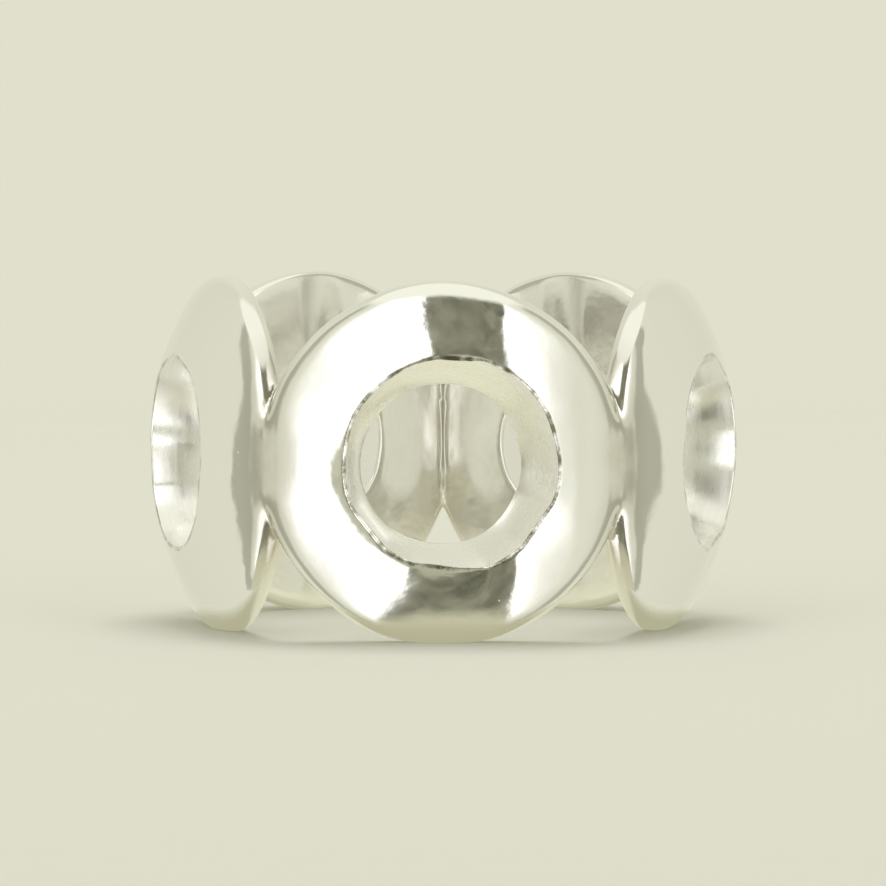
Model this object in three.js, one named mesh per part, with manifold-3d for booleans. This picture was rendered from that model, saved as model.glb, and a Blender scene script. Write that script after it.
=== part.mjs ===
// A finger ring of five pierced silver discs, soldered edge to edge into one piece.
// Millimetres, +Z up. The ring lies on its side: the finger axis is Z and the origin is the ring's centre.
import * as THREE from "three";
import { mergeVertices } from "three/addons/utils/BufferGeometryUtils.js";
import Module from "manifold-3d";

// Driving dimensions
const FINGER_DIAMETER = 17.1; // the round opening between the flat backs
const DISC_DIAMETER = 14;
const HOLE_DIAMETER = 6.1; // the back edge of the flared hole
const DOME_RADIUS = 12.5; // the front is part of a ball of this radius
const EDGE_HEIGHT = 1; // where the ball would meet the rim, above the flat back
const BACK_ROUND = 0.4; // rounding of the rim's back edge
const FRONT_ROUND = 0.45; // rounding of the rim's front edge
const REST_BITE = 0.09; // how much is filed off the lowest edges, so that the ring lies steady

// Fineness of the faceted surfaces
const DISC_SIDES = 44;
const CURVE_STEPS = 4;
const FACET_OFFSET = 0.14; // turn of each disc, in facets, so that neighbours' facets meet out of step

const RIM_RADIUS = DISC_DIAMETER / 2;
const HOLE_RADIUS = HOLE_DIAMETER / 2;
const BACK_DISTANCE = FINGER_DIAMETER / 2;
const DOME_CENTRE = EDGE_HEIGHT - Math.sqrt(DOME_RADIUS ** 2 - RIM_RADIUS ** 2); // its height
const BLOCK_SIZE = DISC_DIAMETER * 2; // wider than the ring

// One row for each disc, as it is seen from outside the ring.
// facing: degrees round the ring, from the front.
// oval: how much the outline departs from a circle, as a share of its radius, longest at ovalAngle.
// crest: diameter of the flared hole's crisp front edge.
// crestAt, holeAt: how far right and up of the disc's centre the crest lies, and the hole's back edge.
const DISCS = [
  { facing: 0, oval: 0.003, ovalAngle: 80, crest: 8.2, crestAt: [0.36, 0.04], holeAt: [-0.1, -0.05] },
  { facing: 72, oval: 0.008, ovalAngle: 20, crest: 7.6, crestAt: [0.1, 0.12], holeAt: [0.05, 0.1] },
  { facing: 144, oval: 0.006, ovalAngle: 130, crest: 8.1, crestAt: [-0.2, -0.08], holeAt: [0.05, 0] },
  { facing: 216, oval: 0.009, ovalAngle: 55, crest: 7.9, crestAt: [0.15, -0.1], holeAt: [0.1, 0.05] },
  { facing: 288, oval: 0.005, ovalAngle: 100, crest: 7.5, crestAt: [-0.15, 0.1], holeAt: [-0.05, -0.1] },
];

const wasm = await Module();
wasm.setup();

// Where the domed front lies at a radius: an angle about the ball's centre, and a height above the back.
const domeAngle = (radius) => Math.acos(radius / DOME_RADIUS);
const domeHeight = (radius) => DOME_CENTRE + DOME_RADIUS * Math.sin(domeAngle(radius));

// The section of a disc as radius and height above its flat back, closed on itself.
function discSection(crestRadius) {
  const domeStart = RIM_RADIUS - FRONT_ROUND;
  const section = new THREE.Path();
  section.moveTo(HOLE_RADIUS, 0);
  section.lineTo(RIM_RADIUS - BACK_ROUND, 0);
  section.quadraticCurveTo(RIM_RADIUS, 0, RIM_RADIUS, BACK_ROUND);
  section.lineTo(RIM_RADIUS, EDGE_HEIGHT - FRONT_ROUND);
  section.quadraticCurveTo(RIM_RADIUS, EDGE_HEIGHT, domeStart, domeHeight(domeStart));
  section.absarc(0, DOME_CENTRE, DOME_RADIUS, domeAngle(domeStart), domeAngle(crestRadius), false);
  section.lineTo(HOLE_RADIUS, 0);
  return section.getPoints(CURVE_STEPS);
}

// Gives a turned disc its own slightly oval outline and its own place for the crest and the hole.
// In the turned disc x is right, -z is up and y is the height above the back.
function shapeByHand(geometry, row) {
  const position = geometry.attributes.position;
  const crestRadius = row.crest / 2;
  const crestHeight = domeHeight(crestRadius);
  const [crestRight, crestUp] = row.crestAt;
  const [holeRight, holeUp] = row.holeAt;
  const longest = THREE.MathUtils.degToRad(row.ovalAngle);
  for (let i = 0; i < position.count; i++) {
    const height = position.getY(i);
    const radius = Math.hypot(position.getX(i), position.getZ(i));
    const angle = Math.atan2(-position.getZ(i), position.getX(i));
    const lift = height / crestHeight;
    const wallRadius = HOLE_RADIUS + (crestRadius - HOLE_RADIUS) * lift;
    const inward = (RIM_RADIUS - radius) / (RIM_RADIUS - wallRadius);
    const stretch = 1 + row.oval * Math.cos(2 * (angle - longest));
    const right = inward * (lift * crestRight + (1 - lift) * holeRight);
    const up = inward * (lift * crestUp + (1 - lift) * holeUp);
    position.setX(i, radius * stretch * Math.cos(angle) + right);
    position.setZ(i, -(radius * stretch * Math.sin(angle) + up));
  }
}

// Turns a closed geometry into a solid that can be joined and cut.
function toSolid(geometry) {
  geometry.deleteAttribute("normal");
  geometry.deleteAttribute("uv");
  const merged = mergeVertices(geometry);
  const vertProperties = new Float32Array(merged.attributes.position.array);
  const triVerts = new Uint32Array(merged.index.array);
  return new wasm.Manifold(new wasm.Mesh({ numProp: 3, vertProperties, triVerts }));
}

function toGeometry(solid) {
  const mesh = solid.getMesh();
  const geometry = new THREE.BufferGeometry();
  geometry.setAttribute("position", new THREE.BufferAttribute(mesh.vertProperties, 3));
  geometry.setIndex(new THREE.BufferAttribute(mesh.triVerts, 1));
  return geometry;
}

// Applies an object's place in the scene to its geometry.
function placed(object) {
  object.updateWorldMatrix(true, false);
  return object.geometry.applyMatrix4(object.matrixWorld);
}

// One disc, standing upright at its place round the ring with its domed front facing out.
function discSolid(row) {
  const firstFacet = (FACET_OFFSET * 2 * Math.PI) / DISC_SIDES;
  const geometry = new THREE.LatheGeometry(discSection(row.crest / 2), DISC_SIDES, firstFacet);
  shapeByHand(geometry, row);
  const disc = new THREE.Mesh(geometry);
  disc.rotation.x = Math.PI;
  disc.position.y = -BACK_DISTANCE;
  const spoke = new THREE.Group();
  spoke.rotation.z = THREE.MathUtils.degToRad(row.facing);
  spoke.add(disc);
  return toSolid(placed(disc));
}

// All that lies below the plane on which the ring rests.
function belowRestPlane() {
  const block = new THREE.Mesh(new THREE.BoxGeometry(BLOCK_SIZE, BLOCK_SIZE, BLOCK_SIZE));
  block.position.z = REST_BITE - RIM_RADIUS - BLOCK_SIZE / 2;
  return toSolid(placed(block));
}

function discRing() {
  const joined = DISCS.map(discSolid).reduce((ring, disc) => ring.add(disc));
  const filed = joined.subtract(belowRestPlane());
  const silver = new THREE.MeshStandardMaterial({ color: 0xe6e3d6, roughness: 0.12, metalness: 1 });
  const mesh = new THREE.Mesh(toGeometry(filed), silver);
  mesh.name = "disc_ring";
  return mesh;
}

const ring = new THREE.Group();
ring.add(discRing());

export default ring;
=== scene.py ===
"""A hand-polished finger ring of five pierced silver discs, lying on its side on a pale floor."""
import math

import bmesh
import bpy
import numpy as np
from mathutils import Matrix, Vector


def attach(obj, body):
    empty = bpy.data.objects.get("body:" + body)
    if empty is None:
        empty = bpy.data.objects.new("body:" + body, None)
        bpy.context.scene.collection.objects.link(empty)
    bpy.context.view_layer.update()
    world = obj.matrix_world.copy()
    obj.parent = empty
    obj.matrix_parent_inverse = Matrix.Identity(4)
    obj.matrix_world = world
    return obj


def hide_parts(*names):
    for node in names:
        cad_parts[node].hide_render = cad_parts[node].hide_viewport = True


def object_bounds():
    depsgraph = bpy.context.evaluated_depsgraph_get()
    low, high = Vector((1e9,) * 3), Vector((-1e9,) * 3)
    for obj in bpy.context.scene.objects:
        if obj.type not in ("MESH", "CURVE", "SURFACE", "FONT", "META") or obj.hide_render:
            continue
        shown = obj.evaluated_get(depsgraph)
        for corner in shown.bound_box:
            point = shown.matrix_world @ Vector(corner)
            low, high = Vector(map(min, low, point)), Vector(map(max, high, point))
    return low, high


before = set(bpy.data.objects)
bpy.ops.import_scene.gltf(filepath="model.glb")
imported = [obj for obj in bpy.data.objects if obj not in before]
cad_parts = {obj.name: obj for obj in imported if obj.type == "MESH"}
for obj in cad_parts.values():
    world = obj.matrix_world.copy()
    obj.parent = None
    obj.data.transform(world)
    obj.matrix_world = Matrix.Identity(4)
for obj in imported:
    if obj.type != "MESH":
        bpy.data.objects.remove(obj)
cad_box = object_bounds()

MM = 0.001

# Sizes of the ring in millimetres, as in the solid model
FINGER_DIAMETER = 17.1
DISC_DIAMETER = 14.0
HOLE_DIAMETER = 6.1
DOME_RADIUS = 12.5
EDGE_HEIGHT = 1.0
BACK_ROUND = 0.4
FRONT_ROUND = 0.45
REST_BITE = 0.09

# Finer sizes that only the finished surface has, in millimetres
CREST_DIAMETER = 8.2    # of the plain disc, from which all five are shaped
CREST_ROUND = 0.1
HOLE_ROUND = 0.18
WALL_BULGE = 0.2        # how far the middle control point of the hole's wall stands out into the hole
SOFT_EDGE = 0.75        # width over which the dome turns down into the rim
EDGE_PULL = 0.6         # how far that turn is drawn out along the dome's slope, as a share of its width
SOLDER_REACH = 2.0      # how far from a joint its solder can draw the surface out
SOLDER_STEPS = 5        # in how many steps it is drawn out
SOLDER_NOTCH = 0.16     # softness of a soldered joint at the notches where the rims part, and at the back
SOLDER_FACE = 0.04      # softness of its outer face, beyond what fills the groove there flush
FILLED_FROM = 0.2       # heights above the back between which the solder comes to fill the joint
FILLED_TO = 0.6
FLUSH_HEIGHT = 1.4      # half the height over which solder fills a joint flush with both domes
NOTCH_HEIGHT = 1.85     # half the height from notch to notch
JOINT_RUBBING = [       # passes that rub a joint smooth: reach to either side, reach up and down, strokes
    (1.5, 1.3, 8),
    (1.3, 1.3, 8),
    (1.1, 1.3, 8),
    (0.9, 1.3, 8),
    (0.7, 1.3, 8),
    (0.5, 1.3, 16),
    (0.6, 1.8, 14),
]
CRISP_EDGE = 0.05       # rounding left at the dome's edge where solder fills the joint
FINGER_DRESSING = 0.05  # how far the bore is rubbed into the flat backs
JOINT_FROM = 4.8        # how far right or left on a disc its own shape begins to give way to the joint's
JOINT_FULL = 6.1        # and where it has given way
OUTLINE_WOBBLE = 0.004  # unevenness of the outline, as a share of its radius
CREST_WOBBLE = 0.035    # unevenness of the crest's radius
CREST_DROP = 0.05       # and of its height
HOLE_WOBBLE = 0.05      # unevenness of the hole's back edge
CUT_TOLERANCE = 0.012   # points closer to a joint's plane than this are moved onto it
WELD_DISTANCE = 0.004   # neighbours' points closer than this become one
TARNISH_REACH = 1.6     # how far from a joint the tarnish spreads
WAVE_COUNT = 14         # shallow waves left by filing and polishing
WAVE_HEIGHT = 0.0045
WAVE_LENGTHS = (1.8, 5.5)
PEEL_PER_MM = 1.7       # fine unevenness of the polish
PEEL_DEPTH = 0.006
TURNING_PER_MM = 5.0    # fine satin lines round the hole walls and the backs
PITS_PER_MM = 0.9       # places for a pit, of which few have one
PIT_RARITY = 0.8
PIT_RADIUS = 0.045
PIT_FLOOR = 0.3         # the share of its radius that has the full depth
PIT_DEPTH = 0.008

RIM_RADIUS = DISC_DIAMETER / 2
CREST_RADIUS = CREST_DIAMETER / 2
HOLE_RADIUS = HOLE_DIAMETER / 2
BACK_DISTANCE = FINGER_DIAMETER / 2
DISC_COUNT = 5
MITRE = math.pi / DISC_COUNT
DOME_CENTRE = EDGE_HEIGHT - math.sqrt(DOME_RADIUS ** 2 - RIM_RADIUS ** 2)
CREST_THICKNESS = DOME_CENTRE + math.sqrt(DOME_RADIUS ** 2 - CREST_RADIUS ** 2)
DISC_SIDES = 168
RING_AXIS = np.array((0.0, 0.0, -BACK_DISTANCE))  # a point on the finger axis, in a disc's own frame

# One row for each disc, as it is seen from outside the ring.
# facing: degrees round the ring. oval: departure of the outline from a circle, as a share of its radius.
# oval_angle: where it is longest. crest: diameter of the hole's front edge.
# crest_at, hole_at: how far right and up of the disc's centre the crest lies, and the hole's back edge.
# flats: where the crest was filed straight, as an angle and a distance, as a share of the crest's radius.
# paste_and_dark_reflection: the crest's dark paint, up to 1: paste and a painted reflection. seed: its own
# hand-made unevenness.
DISCS = [
    {"facing": 0, "oval": 0.003, "oval_angle": 80,
     "crest": 8.2, "crest_at": (0.36, 0.04), "hole_at": (-0.1, -0.05),
     "flats": [(-35, 0.969), (218, 0.974), (268, 0.937), (85, 0.979)], "paste_and_dark_reflection": 1.0, "seed": 3},
    {"facing": 72, "oval": 0.008, "oval_angle": 20,
     "crest": 7.6, "crest_at": (0.1, 0.12), "hole_at": (0.05, 0.1),
     "flats": [(60, 0.972), (170, 0.976), (285, 0.965)], "paste_and_dark_reflection": 0.7, "seed": 5},
    {"facing": 144, "oval": 0.006, "oval_angle": 130,
     "crest": 8.1, "crest_at": (-0.2, -0.08), "hole_at": (0.05, 0.0),
     "flats": [(20, 0.974), (120, 0.965), (245, 0.976)], "paste_and_dark_reflection": 0.68, "seed": 8},
    {"facing": 216, "oval": 0.009, "oval_angle": 55,
     "crest": 7.9, "crest_at": (0.15, -0.1), "hole_at": (0.1, 0.05),
     "flats": [(100, 0.976), (200, 0.965), (310, 0.969)], "paste_and_dark_reflection": 0.66, "seed": 13},
    {"facing": 288, "oval": 0.005, "oval_angle": 100,
     "crest": 7.5, "crest_at": (-0.15, 0.1), "hole_at": (-0.05, -0.1),
     "flats": [(-20, 0.974), (75, 0.969), (190, 0.972)], "paste_and_dark_reflection": 0.72, "seed": 21},
]


def smoothstep(low, high, value):
    """0 at low, 1 at high, with a smooth rise between them. low may be the larger one."""
    t = np.clip((value - low) / (high - low), 0.0, 1.0)
    return t * t * (3.0 - 2.0 * t)


def bezier(points, steps):
    """steps points along a Bezier curve, from its start to just before its end."""
    t = np.arange(steps)[:, None] / steps
    layer = [np.array(p, float) for p in points]
    while len(layer) > 1:
        layer = [a * (1.0 - t) + b * t for a, b in zip(layer, layer[1:])]
    return layer[0]


def dome_height(radius):
    """Height of the domed front above the back."""
    return DOME_CENTRE + np.sqrt(DOME_RADIUS ** 2 - radius ** 2)


def on_dome(radius):
    """The point of a disc's section at a radius of the domed front, as radius and height above the back."""
    return np.array((radius, dome_height(radius)))


def dome_arc(start_radius, end_radius, steps):
    """steps points along the domed front, from one radius to just before another."""
    start, end = math.acos(start_radius / DOME_RADIUS), math.acos(end_radius / DOME_RADIUS)
    angle = start + (end - start) * np.arange(steps) / steps
    return np.stack([DOME_RADIUS * np.cos(angle), DOME_CENTRE + DOME_RADIUS * np.sin(angle)], axis=1)


def disc_section(fineness=1, front_round=FRONT_ROUND, soft_edge=SOFT_EDGE):
    """The closed section of a disc as radius and height above its back, and the finish of each point.

    The finish is how satin it is, and how dark the crest is painted there, as polishing paste and a painted
    dark reflection.
    """
    crest = np.array((CREST_RADIUS, CREST_THICKNESS))
    hole = np.array((HOLE_RADIUS, 0.0))
    down_wall = (hole - crest) / np.linalg.norm(hole - crest)
    off_wall = np.array((down_wall[1], -down_wall[0]))
    back_start = hole + (HOLE_ROUND, 0.0)
    back_end = (RIM_RADIUS - BACK_ROUND, 0.0)
    rim_low = (RIM_RADIUS, BACK_ROUND)
    edge = on_dome(RIM_RADIUS)
    rim_high = edge - (0.0, front_round)
    dome_start = on_dome(RIM_RADIUS - soft_edge)
    down_dome = np.array((dome_start[1] - DOME_CENTRE, -dome_start[0])) / DOME_RADIUS
    over_edge = dome_start + down_dome * soft_edge * EDGE_PULL
    dome_end = on_dome(CREST_RADIUS + CREST_ROUND)
    wall_top = crest + down_wall * CREST_ROUND
    wall_foot = hole - down_wall * HOLE_ROUND
    wall_middle = (wall_top + wall_foot) / 2 + off_wall * WALL_BULGE
    pieces = [
        (bezier((back_start, back_end), 14 * fineness), 0.2, 0.0),
        (bezier((back_end, (RIM_RADIUS, 0.0), rim_low), 8 * fineness), 0.1, 0.0),
        (bezier((rim_low, rim_high), 2 * fineness), 0.0, 0.0),
        (bezier((rim_high, edge, over_edge, dome_start), 14 * fineness), 0.0, 0.0),
        (dome_arc(dome_start[0], dome_end[0], 20 * fineness), 0.0, 0.0),
        # The crest is painted dark here: polishing paste and a painted dark reflection.
        (bezier((dome_end, crest, wall_top), 5 * fineness), 0.0, 1.0),
        (bezier((wall_top, wall_middle, wall_foot), 13 * fineness), 1.0, 0.0),
        (bezier((wall_foot, hole, back_start), 5 * fineness), 0.4, 0.0),
    ]
    points = np.vstack([curve for curve, *_ in pieces])
    finish = np.vstack([np.tile(values, (len(curve), 1)) for curve, *values in pieces])
    return points, finish


def lathe_disc():
    """One plain disc as a bmesh: x is right, y is up and z is out of the ring, above the flat back."""
    section, finish = disc_section()
    disc = bmesh.new()
    satin_layer = disc.verts.layers.float.new("satin")
    paste_and_dark_reflection_layer = disc.verts.layers.float.new("paste_and_dark_reflection")
    turning_layer = disc.verts.layers.float_vector.new("turning")
    along = np.cumsum(np.linalg.norm(np.diff(section, axis=0, prepend=section[:1]), axis=1))
    columns = []
    for angle in np.arange(DISC_SIDES) * 2.0 * math.pi / DISC_SIDES:
        column = []
        right, up = math.cos(angle), math.sin(angle)
        for (radius, height), (satin, paste_and_dark_reflection), distance in zip(section, finish, along):
            vert = disc.verts.new((radius * right, radius * up, height))
            vert[satin_layer] = satin
            vert[paste_and_dark_reflection_layer] = paste_and_dark_reflection
            vert[turning_layer] = (distance * TURNING_PER_MM, right, up)
            column.append(vert)
        columns.append(column)
    for a, b in zip(columns, columns[1:] + columns[:1]):
        for k in range(len(section)):
            n = (k + 1) % len(section)
            disc.faces.new((a[k], b[k], b[n], a[n]))
    return disc


def mitre_normal(side):
    """Normal of the plane where a disc meets its neighbour at the right (side 1) or left (side -1)."""
    return np.array((side * math.cos(MITRE), 0.0, -math.sin(MITRE)))


def cut_at_joints(disc):
    """Cuts the disc off at both mitre planes and puts the cut's points exactly on them."""
    for side in (1, -1):
        normal = mitre_normal(side)
        geometry = disc.verts[:] + disc.edges[:] + disc.faces[:]
        cut = bmesh.ops.bisect_plane(
            disc, geom=geometry, dist=CUT_TOLERANCE, plane_co=RING_AXIS, plane_no=normal, clear_outer=True
        )
        for item in cut["geom_cut"]:
            if isinstance(item, bmesh.types.BMVert):
                away = (np.array(item.co) - RING_AXIS) @ normal
                item.co = np.array(item.co) - away * normal


def section_distance(points, polygon):
    """Signed distance of points, given as radius and height, from a closed polygon: negative inside."""
    start = polygon
    along = np.roll(polygon, -1, axis=0) - start
    offset = points[:, None, :] - start[None, :, :]
    t = np.clip((offset * along).sum(2) / (along * along).sum(1), 0.0, 1.0)
    distance = np.linalg.norm(offset - t[:, :, None] * along, axis=2).min(axis=1)
    below = start[:, 1] <= points[:, None, 1]
    crosses = below != np.roll(below, -1, axis=1)
    climb = np.where(along[:, 1] == 0.0, 1.0, along[:, 1])
    crossing_radius = start[:, 0] + (points[:, None, 1] - start[:, 1]) / climb * along[:, 0]
    inside = (crosses & (points[:, None, 0] < crossing_radius)).sum(axis=1) % 2 == 1
    return np.where(inside, -distance, distance)


def disc_distance(points, rounded, crisp):
    """Signed distance from one disc, whose rounded edge gives way to a crisp one in its joints."""
    flat = np.stack([np.hypot(points[:, 0], points[:, 1]), points[:, 2]], axis=1)
    flush = smoothstep(NOTCH_HEIGHT, FLUSH_HEIGHT, np.abs(points[:, 1]))
    return (1.0 - flush) * section_distance(flat, rounded) + flush * section_distance(flat, crisp)


def groove_depth(from_middle):
    """How deep the groove between two crisp discs is, at a height above or below the joint's middle."""
    reach = np.sqrt(RIM_RADIUS ** 2 - np.minimum(from_middle, NOTCH_HEIGHT) ** 2)
    return np.maximum(BACK_DISTANCE + EDGE_HEIGHT - reach / math.tan(MITRE), 0.0)


def joined_field(points, sections, side):
    """Signed distance from a disc and its neighbour, run together softly where they meet."""
    normal = mitre_normal(side)
    mirrored = points - 2.0 * ((points - RING_AXIS) @ normal)[:, None] * normal
    near = disc_distance(points, *sections)
    far = disc_distance(mirrored, *sections)
    from_middle = np.abs(points[:, 1])
    filled = smoothstep(NOTCH_HEIGHT, FLUSH_HEIGHT, from_middle)
    filled = filled * smoothstep(FILLED_FROM, FILLED_TO, points[:, 2])
    # A softness of four times a groove's depth fills it flush.
    flush = SOLDER_FACE + 4.0 * groove_depth(from_middle)
    softness = SOLDER_NOTCH + (flush - SOLDER_NOTCH) * filled
    overlap = np.maximum(softness - np.abs(near - far), 0.0) / softness
    return np.minimum(near, far) - overlap * overlap * softness / 4.0


def field_gradient(points, sections, side):
    """Slope of the joined field, by central differences."""
    step = 1e-3
    slopes = []
    for axis in np.eye(3) * step:
        ahead = joined_field(points + axis, sections, side)
        behind = joined_field(points - axis, sections, side)
        slopes.append((ahead - behind) / (2.0 * step))
    return np.stack(slopes, axis=1)


def solder_joints(disc):
    """Draws the disc's surface out near its joints, as the solder that runs into them does."""
    sections = (disc_section(3)[0], disc_section(3, CRISP_EDGE, CRISP_EDGE)[0])
    verts = disc.verts[:]
    points = np.array([v.co for v in verts])
    for side in (1, -1):
        normal = mitre_normal(side)
        depth = (points - RING_AXIS) @ normal
        chosen = np.nonzero(depth > -SOLDER_REACH)[0]
        moved = points[chosen]
        on_plane = depth[chosen] > -1e-5
        for _ in range(SOLDER_STEPS):
            value = joined_field(moved, sections, side)
            slope = field_gradient(moved, sections, side)
            moved = moved - slope * (value / np.maximum((slope * slope).sum(1), 0.2))[:, None]
            drift = ((moved - RING_AXIS) @ normal)[on_plane]
            moved[on_plane] -= drift[:, None] * normal
        points[chosen] = moved
    for vert, point in zip(verts, points):
        vert.co = point


def wobble(angle, seed, lobes=(2, 3, 5, 7)):
    """An uneven closed curve of height about 1 round a disc, the same for the same seed."""
    draw = np.random.default_rng(seed)
    total = np.zeros_like(angle)
    for count in lobes:
        total += draw.uniform(0.3, 1.0) * np.cos(count * angle + draw.uniform(0.0, 2.0 * math.pi))
    return total / math.sqrt(len(lobes))


def shape_by_hand(points, row):
    """Gives a disc its own outline, crest and hole. Its joints stay as they are, so that neighbours meet."""
    right, up, height = points.T
    radius = np.hypot(right, up)
    angle = np.arctan2(up, right)
    free = smoothstep(JOINT_FULL, JOINT_FROM, np.abs(right))
    lift = height / CREST_THICKNESS
    wall_radius = HOLE_RADIUS + (CREST_RADIUS - HOLE_RADIUS) * lift
    inward = np.clip((RIM_RADIUS - radius) / (RIM_RADIUS - wall_radius), 0.0, 1.0)
    outline = row["oval"] * np.cos(2.0 * (angle - math.radians(row["oval_angle"])))
    outline = outline + OUTLINE_WOBBLE * wobble(angle, row["seed"])
    crest_radius = row["crest"] / 2
    filed = np.zeros_like(angle)
    for flat_angle, reach in row["flats"]:
        facing_flat = np.maximum(np.cos(angle - math.radians(flat_angle)), 0.2)
        filed = np.minimum(filed, crest_radius * (reach / facing_flat - 1.0))
    crest_edge = filed + CREST_WOBBLE * wobble(angle, row["seed"] + 1, (3, 5, 6, 9))
    hole_edge = HOLE_WOBBLE * wobble(angle, row["seed"] + 2, (2, 3, 4, 6))
    edge = inward ** 3 * (lift * crest_edge + (1.0 - lift) * hole_edge)
    drop = inward ** 4 * lift * CREST_DROP * wobble(angle, row["seed"] + 4, (1, 2, 3))
    shift = inward * free
    resize = shift * lift * (crest_radius - CREST_RADIUS)
    stretched = radius * (1.0 + outline * free) + edge * free + resize
    height = height * dome_height(radius + resize) / dome_height(radius)
    crest_right, crest_up = row["crest_at"]
    hole_right, hole_up = row["hole_at"]
    return np.stack([
        stretched * np.cos(angle) + shift * (lift * crest_right + (1.0 - lift) * hole_right),
        stretched * np.sin(angle) + shift * (lift * crest_up + (1.0 - lift) * hole_up),
        height + drop * free,
    ], axis=1)


def place(points, facing):
    """Stands a disc at its place round the ring."""
    turn = math.radians(facing)
    right, up, height = points.T
    out = BACK_DISTANCE + height
    return np.stack([
        right * math.cos(turn) + out * math.sin(turn),
        right * math.sin(turn) - out * math.cos(turn),
        up,
    ], axis=1)


def hand_waves(points):
    """Height of the shallow waves that filing and polishing by hand leave all over the metal."""
    draw = np.random.default_rng(34)
    height = np.zeros(len(points))
    for _ in range(WAVE_COUNT):
        way = draw.normal(size=3)
        way /= np.linalg.norm(way)
        length = draw.uniform(*WAVE_LENGTHS)
        height += np.sin(points @ way * 2.0 * math.pi / length + draw.uniform(0.0, 2.0 * math.pi)) * length
    return height * WAVE_HEIGHT / np.mean(WAVE_LENGTHS)


def join_discs(disc):
    """Five copies of the soldered disc, each shaped by hand, welded at the joints into one bmesh."""
    mesh = bpy.data.meshes.new("disc")
    disc.to_mesh(mesh)
    plain = np.array([v.co for v in mesh.vertices])
    plain_paste_and_dark_reflection = np.array([p.value for p in mesh.attributes["paste_and_dark_reflection"].data])
    ring = bmesh.new()
    for row in DISCS:
        copy = mesh.copy()
        shaped = place(shape_by_hand(plain, row), row["facing"])
        copy.vertices.foreach_set("co", shaped.astype(np.float32).ravel())
        copy.attributes["paste_and_dark_reflection"].data.foreach_set("value", (plain_paste_and_dark_reflection * row["paste_and_dark_reflection"]).astype(np.float32))
        ring.from_mesh(copy)
        bpy.data.meshes.remove(copy)
    bpy.data.meshes.remove(mesh)
    bmesh.ops.remove_doubles(ring, verts=ring.verts[:], dist=WELD_DISTANCE)
    bmesh.ops.recalc_face_normals(ring, faces=ring.faces[:])
    return ring


def off_joint(points):
    """Distance of points from the plane of the nearest joint."""
    turn = np.arctan2(points[:, 0], -points[:, 1]) % (2.0 * MITRE) - MITRE
    return np.hypot(points[:, 0], points[:, 1]) * np.abs(np.sin(turn))


def rub_joints(ring):
    """Rubs the outer face of each joint smooth, between its notches."""
    points = np.array([v.co for v in ring.verts])
    from_axis = np.hypot(points[:, 0], points[:, 1])
    outer_face = from_axis * math.cos(MITRE) > BACK_DISTANCE + EDGE_HEIGHT / 2
    ring.verts.ensure_lookup_table()
    for aside, upwards, strokes in JOINT_RUBBING:
        chosen = outer_face & (off_joint(points) < aside) & (np.abs(points[:, 2]) < upwards)
        rubbed = [ring.verts[i] for i in np.nonzero(chosen)[0]]
        for _ in range(strokes):
            bmesh.ops.smooth_vert(
                ring, verts=rubbed, factor=0.5, use_axis_x=True, use_axis_y=True, use_axis_z=True
            )


def finish_by_hand(ring):
    """Rubs the joints and the bore, puts the polishing waves in and files the lowest edges flat."""
    rub_joints(ring)
    ring.normal_update()
    points = np.array([v.co for v in ring.verts])
    normals = np.array([v.normal for v in ring.verts])
    points = points + normals * hand_waves(points)[:, None]
    bore = FINGER_DIAMETER / 2 + FINGER_DRESSING
    from_axis = np.hypot(points[:, 0], points[:, 1])
    points[:, :2] *= np.maximum(bore / from_axis, 1.0)[:, None]
    points[:, 2] = np.maximum(points[:, 2], REST_BITE - RIM_RADIUS)
    for vert, point in zip(ring.verts, points):
        vert.co = point * MM


def mark_joints(mesh):
    """Stores how close each point is to a soldered joint, for the tarnish there."""
    points = np.array([v.co for v in mesh.vertices]) / MM
    layer = mesh.attributes.new("joint", "FLOAT", "POINT")
    layer.data.foreach_set("value", smoothstep(TARNISH_REACH, 0.0, off_joint(points)).astype(np.float32))


def make_ring():
    disc = lathe_disc()
    cut_at_joints(disc)
    solder_joints(disc)
    ring = join_discs(disc)
    disc.free()
    finish_by_hand(ring)
    mesh = bpy.data.meshes.new("silver_disc_ring")
    ring.to_mesh(mesh)
    ring.free()
    mesh.shade_smooth()
    mark_joints(mesh)
    piece = bpy.data.objects.new("silver_disc_ring", mesh)
    bpy.context.collection.objects.link(piece)
    return piece


def add_node(tree, kind, inputs=None, **settings):
    """A shader node with its settings, and its inputs set to numbers or linked to other nodes' outputs."""
    node = tree.nodes.new(kind)
    for name, value in settings.items():
        setattr(node, name, value)
    for name, value in (inputs or {}).items():
        if isinstance(value, bpy.types.NodeSocket):
            tree.links.new(value, node.inputs[name])
        else:
            node.inputs[name].default_value = value
    return node


def calc(tree, operation, *values):
    """The result of a Math node."""
    return add_node(tree, "ShaderNodeMath", dict(enumerate(values)), operation=operation).outputs[0]


def rise(tree, value, low, high, at_low=0.0, at_high=1.0):
    """at_low up to the low value, at_high from the high one on, and an even slope between them."""
    inputs = {"Value": value, "From Min": low, "From Max": high, "To Min": at_low, "To Max": at_high}
    return add_node(tree, "ShaderNodeMapRange", inputs).outputs[0]


def blend(tree, factor, a, b):
    """The colour a where the factor is 0 and b where it is 1."""
    inputs = {"Factor": factor, "A": a, "B": b}
    return add_node(tree, "ShaderNodeMix", inputs, data_type="RGBA").outputs["Result"]


def noise(tree, where, scale, detail=2.0, roughness=0.5):
    """A cloudy pattern of values round 0.5."""
    inputs = {"Vector": where, "Scale": scale, "Detail": detail, "Roughness": roughness}
    return add_node(tree, "ShaderNodeTexNoise", inputs).outputs["Fac"]


def stored(tree, name, output="Fac"):
    """A value that the mesh stores at its points."""
    return add_node(tree, "ShaderNodeAttribute", attribute_name=name).outputs[output]


def new_material(name):
    material = bpy.data.materials.new(name)
    material.use_nodes = True
    material.node_tree.nodes.clear()
    return material


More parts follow.
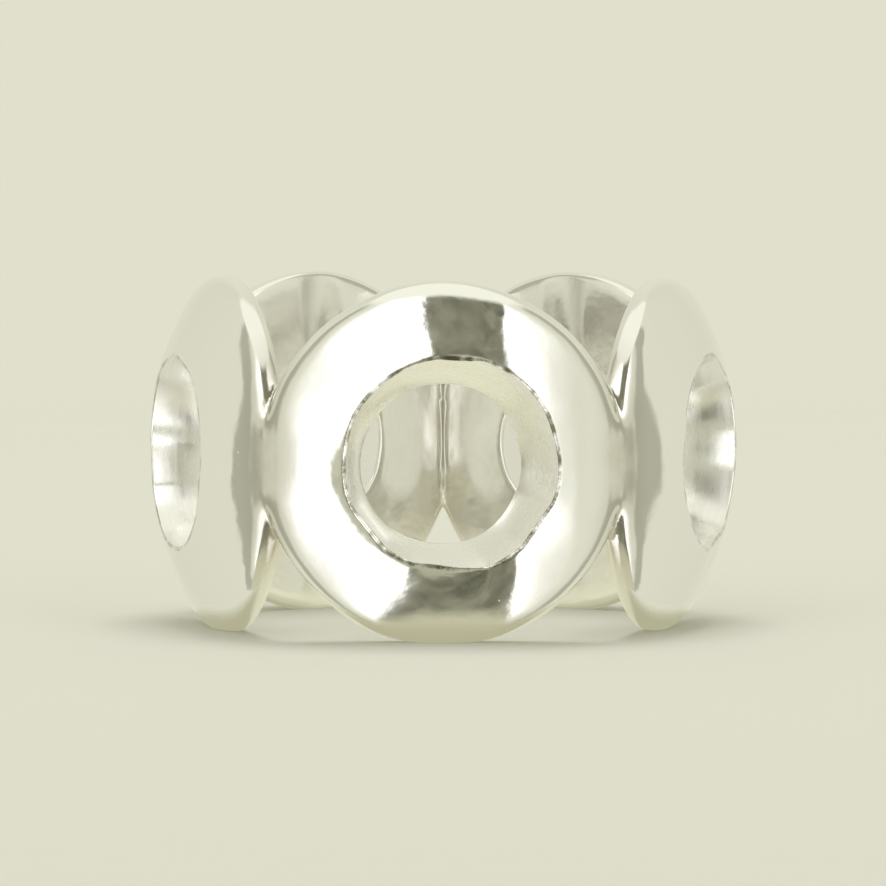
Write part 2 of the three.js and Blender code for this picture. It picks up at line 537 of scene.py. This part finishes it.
# The metal's colours, and its roughness: least and most on polished metal, and what other places add
SILVER = (0.955, 0.948, 0.92, 1.0)
TARNISH = (0.62, 0.58, 0.48, 1.0)
# Dark paint along the crests: partly polishing paste left there, partly a painted dark reflection line.
PASTE_AND_DARK_REFLECTION = (0.2, 0.19, 0.13, 1.0)
POLISHED_ROUGHNESS = (0.05, 0.13)
SATIN_ROUGHNESS = 0.08
LINE_ROUGHNESS = 0.2
PIT_ROUGHNESS = 0.2
JOINT_ROUGHNESS = 0.06
CLOUDS_PER_MM = 0.55  # patches of duller and brighter polish
CRUMBS_PER_MM = 1.1   # patches of the crest's dark paint: paste, and a painted reflection


def pit_pattern(tree, place_mm):
    """1 in the few small pits of the polished metal and 0 round them."""
    specks = add_node(tree, "ShaderNodeTexVoronoi", {"Vector": place_mm, "Scale": PITS_PER_MM})
    rim = PIT_RADIUS * PITS_PER_MM
    near_speck = add_node(tree, "ShaderNodeMapRange", {
        "Value": specks.outputs["Distance"], "From Min": rim, "From Max": PIT_FLOOR * rim,
    }, interpolation_type="SMOOTHSTEP").outputs[0]
    draw = add_node(tree, "ShaderNodeSeparateColor", {0: specks.outputs["Color"]}).outputs[0]
    return calc(tree, "MULTIPLY", near_speck, calc(tree, "GREATER_THAN", draw, PIT_RARITY))


def silver():
    """Hand-polished silver: bright faces with a few pits, and satin hole walls with fine lines round them.

    The crests are painted dark in patches, partly as polishing paste and partly as a painted dark reflection
    line, and a little tarnish lies in the joints.
    """
    material = new_material("hand_polished_silver")
    tree = material.node_tree
    place_mm = add_node(tree, "ShaderNodeVectorMath", {
        0: add_node(tree, "ShaderNodeTexCoord").outputs["Object"], "Scale": 1.0 / MM,
    }, operation="SCALE").outputs[0]
    satin = stored(tree, "satin")
    joint = stored(tree, "joint")
    clouds = noise(tree, place_mm, CLOUDS_PER_MM, detail=4.0, roughness=0.55)
    turning = noise(tree, stored(tree, "turning", "Vector"), 1.0, detail=3.0)
    pits = pit_pattern(tree, place_mm)

    roughness = rise(tree, clouds, 0.3, 0.7, *POLISHED_ROUGHNESS)
    lines = calc(tree, "MULTIPLY", turning, satin)
    for source, amount in (
        (satin, SATIN_ROUGHNESS), (lines, LINE_ROUGHNESS), (pits, PIT_ROUGHNESS), (joint, JOINT_ROUGHNESS),
    ):
        roughness = calc(tree, "MULTIPLY_ADD", source, amount, roughness)

    colour = blend(tree, calc(tree, "MULTIPLY", joint, clouds), SILVER, TARNISH)
    crumbs = rise(tree, noise(tree, place_mm, CRUMBS_PER_MM, detail=5.0, roughness=0.7), 0.42, 0.6)
    # Painted dark reflection along the crests, in patches like polishing paste left there.
    paste_and_reflection_mask = calc(tree, "MULTIPLY", rise(tree, stored(tree, "paste_and_dark_reflection"), 0.5, 1.0), crumbs)
    colour = blend(tree, paste_and_reflection_mask, colour, PASTE_AND_DARK_REFLECTION)

    peel = noise(tree, place_mm, PEEL_PER_MM, detail=3.0, roughness=0.4)
    polish = add_node(tree, "ShaderNodeBump", {"Height": peel, "Distance": PEEL_DEPTH * MM}).outputs[0]
    pitted = add_node(tree, "ShaderNodeBump", {
        "Height": pits, "Distance": PIT_DEPTH * MM, "Normal": polish,
    }, invert=True).outputs[0]
    shader = add_node(tree, "ShaderNodeBsdfPrincipled", {
        "Base Color": colour, "Metallic": 1.0, "Roughness": roughness, "Normal": pitted,
    })
    add_node(tree, "ShaderNodeOutputMaterial", {"Surface": shader.outputs[0]})
    return material


# The stage. The floor is seen out to where it fades; the ring mirrors only the part close to it.
FLOOR_COLOUR = (0.65, 0.647, 0.585, 1.0)
FLOOR_FADE = (0.09, 0.24)  # metres from the ring's middle between which it fades
# The mirrored floor's paper is painted paler than the floor's: painted light that lifts the ring's shadow
# off it in the ring's mirror images.
MIRRORED_FLOOR_PAINTED_LIGHT_COLOUR = (0.95, 0.94, 0.82, 1.0)
MIRRORED_FLOOR_FADE = (0.0098, 0.0112)
FIBRES_PER_M = 900.0
CREAM = (0.745, 0.745, 0.605, 1.0)  # the backdrop

# What the ring mirrors: the walls of a light tent, from the front at 0 degrees round to the back at 180.
# White panels stand at both sides of the front, with a gap between them that shows a dim room.
TENT_WALLS = [
    (0, (1.6, 1.6, 1.54, 1.0)),
    (40, (1.5, 1.5, 1.43, 1.0)),
    (52, (0.95, 0.95, 0.85, 1.0)),
    (60, (0.76, 0.76, 0.64, 1.0)),
    (72, (0.7, 0.7, 0.58, 1.0)),
    (78, (0.45, 0.45, 0.36, 1.0)),
    (95, (0.43, 0.43, 0.34, 1.0)),
    (98, (0.74, 0.74, 0.62, 1.0)),
    (150, (0.7, 0.7, 0.58, 1.0)),
    (180, (0.76, 0.76, 0.64, 1.0)),
]
TENT_SWAY = 5.0           # how far the walls' edges wander to either side, in degrees
TENT_ROOF = (0.95, 0.95, 0.83, 1.0)
ROOF_RISE = (0.86, 0.9)   # where the walls turn into the roof, as shares of the way up
GAP_LEFT = -0.14          # the gap's edges, as shares of the way to the right
GAP_RIGHT = 0.37
GAP_FOOT_LEFT = -0.36     # its foot spreads to the left
GAP_FOOT_RISE = (-0.6, -0.85)
GAP_LOW_RISE = (-0.81, -0.88)  # and low down the room is lighter
GAP_EDGE = 0.012          # softness of its edges
GAP_DARK = (0.06, 0.06, 0.04, 1.0)
GAP_LIGHT = (0.36, 0.36, 0.26, 1.0)
GAP_LOW = (0.58, 0.56, 0.4, 1.0)
CENTRE_HALF_WIDTH = 36.0  # round the camera, in degrees, the tent is mottled cloth with two bright panes
CENTRE_DARK = (0.22, 0.22, 0.14, 1.0)
CENTRE_LIGHT = (0.78, 0.78, 0.62, 1.0)
CAMERA_HALF_WIDTH = 9.0   # the camera itself is dark
FADE_WIDTH = 2.0          # both fade out over this many degrees
PANE_ASIDE = 0.24         # a pane's place and size, as shares of the way aside and up
PANE_HALF_WIDTH = 0.08
PANE_HALF_HEIGHT = 0.27
PANE_GLASS = (1.02, 0.98)  # where the bright pane ends, as shares of its size
PANE_FRAME = (1.3, 1.25)   # and where the dark frame round it ends
PANE = (2.4, 2.4, 2.3, 1.0)
PANE_EDGE = (0.12, 0.12, 0.08, 1.0)


def floor_paper(colour, fade_from, fade_to):
    """Pale paper that fades out between two distances from the ring."""
    material = new_material("cream_paper")
    tree = material.node_tree
    where = add_node(tree, "ShaderNodeTexCoord").outputs["Object"]
    fibres = noise(tree, where, FIBRES_PER_M, detail=6.0)
    far = add_node(tree, "ShaderNodeVectorMath", {0: where}, operation="LENGTH").outputs["Value"]
    fade = add_node(tree, "ShaderNodeMapRange", {
        "Value": far, "From Min": fade_from, "From Max": fade_to,
    }, interpolation_type="SMOOTHSTEP").outputs[0]
    bump = add_node(tree, "ShaderNodeBump", {
        "Height": fibres, "Strength": 0.15, "Distance": 0.1 * MM,
    }).outputs[0]
    paper = add_node(tree, "ShaderNodeBsdfPrincipled", {
        "Base Color": colour, "Roughness": 0.9, "Specular IOR Level": 0.2, "Normal": bump,
    }).outputs[0]
    clear = add_node(tree, "ShaderNodeBsdfTransparent").outputs[0]
    mixed = add_node(tree, "ShaderNodeMixShader", {0: fade, 1: paper, 2: clear}).outputs[0]
    add_node(tree, "ShaderNodeOutputMaterial", {"Surface": mixed})
    return material


def make_floor(name, height, colour, fade, mirrored):
    """A round sheet of paper that either only the ring's mirror images show, or everything but them."""
    bpy.ops.mesh.primitive_circle_add(
        vertices=96, radius=fade[1], fill_type="NGON", location=(0.0, 0.0, height)
    )
    floor = bpy.context.object
    floor.name = name
    floor.visible_glossy = mirrored
    floor.visible_camera = not mirrored
    floor.visible_diffuse = not mirrored
    floor.visible_shadow = False
    floor.data.materials.append(floor_paper(colour, *fade))


def within(tree, front, degrees):
    """1 less than an angle away from straight in front, and 0 farther off."""
    edge, inside = (math.cos(math.radians(angle)) for angle in (degrees, degrees - FADE_WIDTH))
    return rise(tree, front, edge, inside)


def tent_walls(tree, direction, way, front):
    """The tent's walls by how far round they stand, with edges that wander a little."""
    turn = calc(tree, "ABSOLUTE", calc(tree, "ARCTAN2", way["X"], front))
    # The noise strays by about a quarter to either side of a half.
    sway = calc(tree, "SUBTRACT", noise(tree, direction, 2.2), 0.5)
    swayed = calc(tree, "MULTIPLY_ADD", sway, math.radians(4.0 * TENT_SWAY), turn)
    walls = add_node(tree, "ShaderNodeValToRGB", {0: calc(tree, "DIVIDE", swayed, math.pi)})
    stops = walls.color_ramp.elements
    while len(stops) < len(TENT_WALLS):
        stops.new(1.0)
    for stop, (degrees, colour) in zip(stops, TENT_WALLS):
        stop.position = degrees / 180.0
        stop.color = colour
    return walls.outputs["Color"]


def make_world():
    """A cream light tent with a gap between two white panels in front. Seen directly it is plain cream."""
    world = bpy.data.worlds.new("light_tent")
    bpy.context.scene.world = world
    world.use_nodes = True
    tree = world.node_tree
    tree.nodes.clear()
    direction = add_node(tree, "ShaderNodeTexCoord").outputs["Generated"]
    way = add_node(tree, "ShaderNodeSeparateXYZ", {0: direction}).outputs
    front = calc(tree, "MULTIPLY", way["Y"], -1.0)
    mottle = rise(tree, noise(tree, direction, 9.0, detail=7.0, roughness=0.62), 0.25, 0.75)
    tent = tent_walls(tree, direction, way, front)

    room = blend(tree, mottle, GAP_DARK, GAP_LIGHT)
    room = blend(tree, rise(tree, way["Z"], *GAP_LOW_RISE), room, GAP_LOW)
    left = rise(tree, way["Z"], *GAP_FOOT_RISE, GAP_LEFT, GAP_FOOT_LEFT)
    past_left = calc(tree, "SUBTRACT", way["X"], left)
    short_of_right = calc(tree, "SUBTRACT", GAP_RIGHT, way["X"])
    in_gap = rise(tree, calc(tree, "MINIMUM", past_left, short_of_right), 0.0, GAP_EDGE)
    in_gap = calc(tree, "MULTIPLY", in_gap, calc(tree, "GREATER_THAN", front, 0.0))
    tent = blend(tree, in_gap, tent, room)

    off_pane = calc(tree, "SUBTRACT", calc(tree, "ABSOLUTE", way["X"]), PANE_ASIDE)
    from_pane = calc(
        tree, "MAXIMUM",
        calc(tree, "DIVIDE", calc(tree, "ABSOLUTE", off_pane), PANE_HALF_WIDTH),
        calc(tree, "DIVIDE", calc(tree, "ABSOLUTE", way["Z"]), PANE_HALF_HEIGHT),
    )
    centre = blend(tree, mottle, CENTRE_DARK, CENTRE_LIGHT)
    centre = blend(tree, rise(tree, from_pane, *PANE_FRAME), centre, PANE_EDGE)
    centre = blend(tree, rise(tree, from_pane, *PANE_GLASS), centre, PANE)
    centre = blend(tree, within(tree, front, CAMERA_HALF_WIDTH), centre, PANE_EDGE)
    tent = blend(tree, within(tree, front, CENTRE_HALF_WIDTH), tent, centre)
    tent = blend(tree, rise(tree, way["Z"], *ROOF_RISE), tent, TENT_ROOF)

    mirrored = add_node(tree, "ShaderNodeBackground", {"Color": tent}).outputs[0]
    seen = add_node(tree, "ShaderNodeBackground", {"Color": CREAM}).outputs[0]
    direct = add_node(tree, "ShaderNodeLightPath").outputs["Is Camera Ray"]
    both = add_node(tree, "ShaderNodeMixShader", {0: direct, 1: mirrored, 2: seen}).outputs[0]
    add_node(tree, "ShaderNodeOutputWorld", {"Surface": both})


def make_softbox(name, azimuth, elevation, distance, width, height, radiance):
    """An area light that faces the ring, which doesn't mirror it.

    azimuth 0 is in front, and it grows to the right.
    """
    lamp = bpy.data.lights.new(name, "AREA")
    lamp.shape = "RECTANGLE"
    lamp.size = width
    lamp.size_y = height
    lamp.energy = radiance * math.pi * width * height
    turn, lift = math.radians(azimuth), math.radians(elevation)
    away = Vector((math.sin(turn) * math.cos(lift), -math.cos(turn) * math.cos(lift), math.sin(lift)))
    box = bpy.data.objects.new(name, lamp)
    box.location = away * distance
    box.rotation_euler = away.to_track_quat("Z", "Y").to_euler()
    box.visible_camera = False
    box.visible_glossy = False
    bpy.context.collection.objects.link(box)


def make_camera():
    """Looks at the ring's front from just above the floor."""
    elevation = math.radians(3.0)
    distance = 0.23
    frame_width = 0.0355
    target = Vector((0.0, 0.0, 0.0003))
    lens = bpy.data.cameras.new("camera")
    lens.sensor_width = 36.0
    lens.lens = lens.sensor_width * distance / frame_width
    lens.clip_start = 0.01
    lens.clip_end = 10.0
    camera = bpy.data.objects.new("camera", lens)
    camera.location = target + Vector((0.0, -math.cos(elevation), math.sin(elevation))) * distance
    camera.rotation_euler = (math.pi / 2 - elevation, 0.0, 0.0)
    bpy.context.collection.objects.link(camera)
    bpy.context.scene.camera = camera


ring = make_ring()
ring.data.materials.append(silver())
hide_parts("disc_ring")
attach(ring, "root")

make_floor("floor", cad_box[0].z, FLOOR_COLOUR, FLOOR_FADE, mirrored=False)
# Its paper is painted paler than the floor's: painted light against the ring's shadow in its mirror images.
make_floor("mirrored_floor", cad_box[0].z, MIRRORED_FLOOR_PAINTED_LIGHT_COLOUR, MIRRORED_FLOOR_FADE, mirrored=True)
make_world()
make_softbox("softbox_above", azimuth=170, elevation=82, distance=0.6, width=0.3, height=0.3, radiance=5.0)
make_camera()
bpy.context.scene.view_settings.view_transform = "Standard"
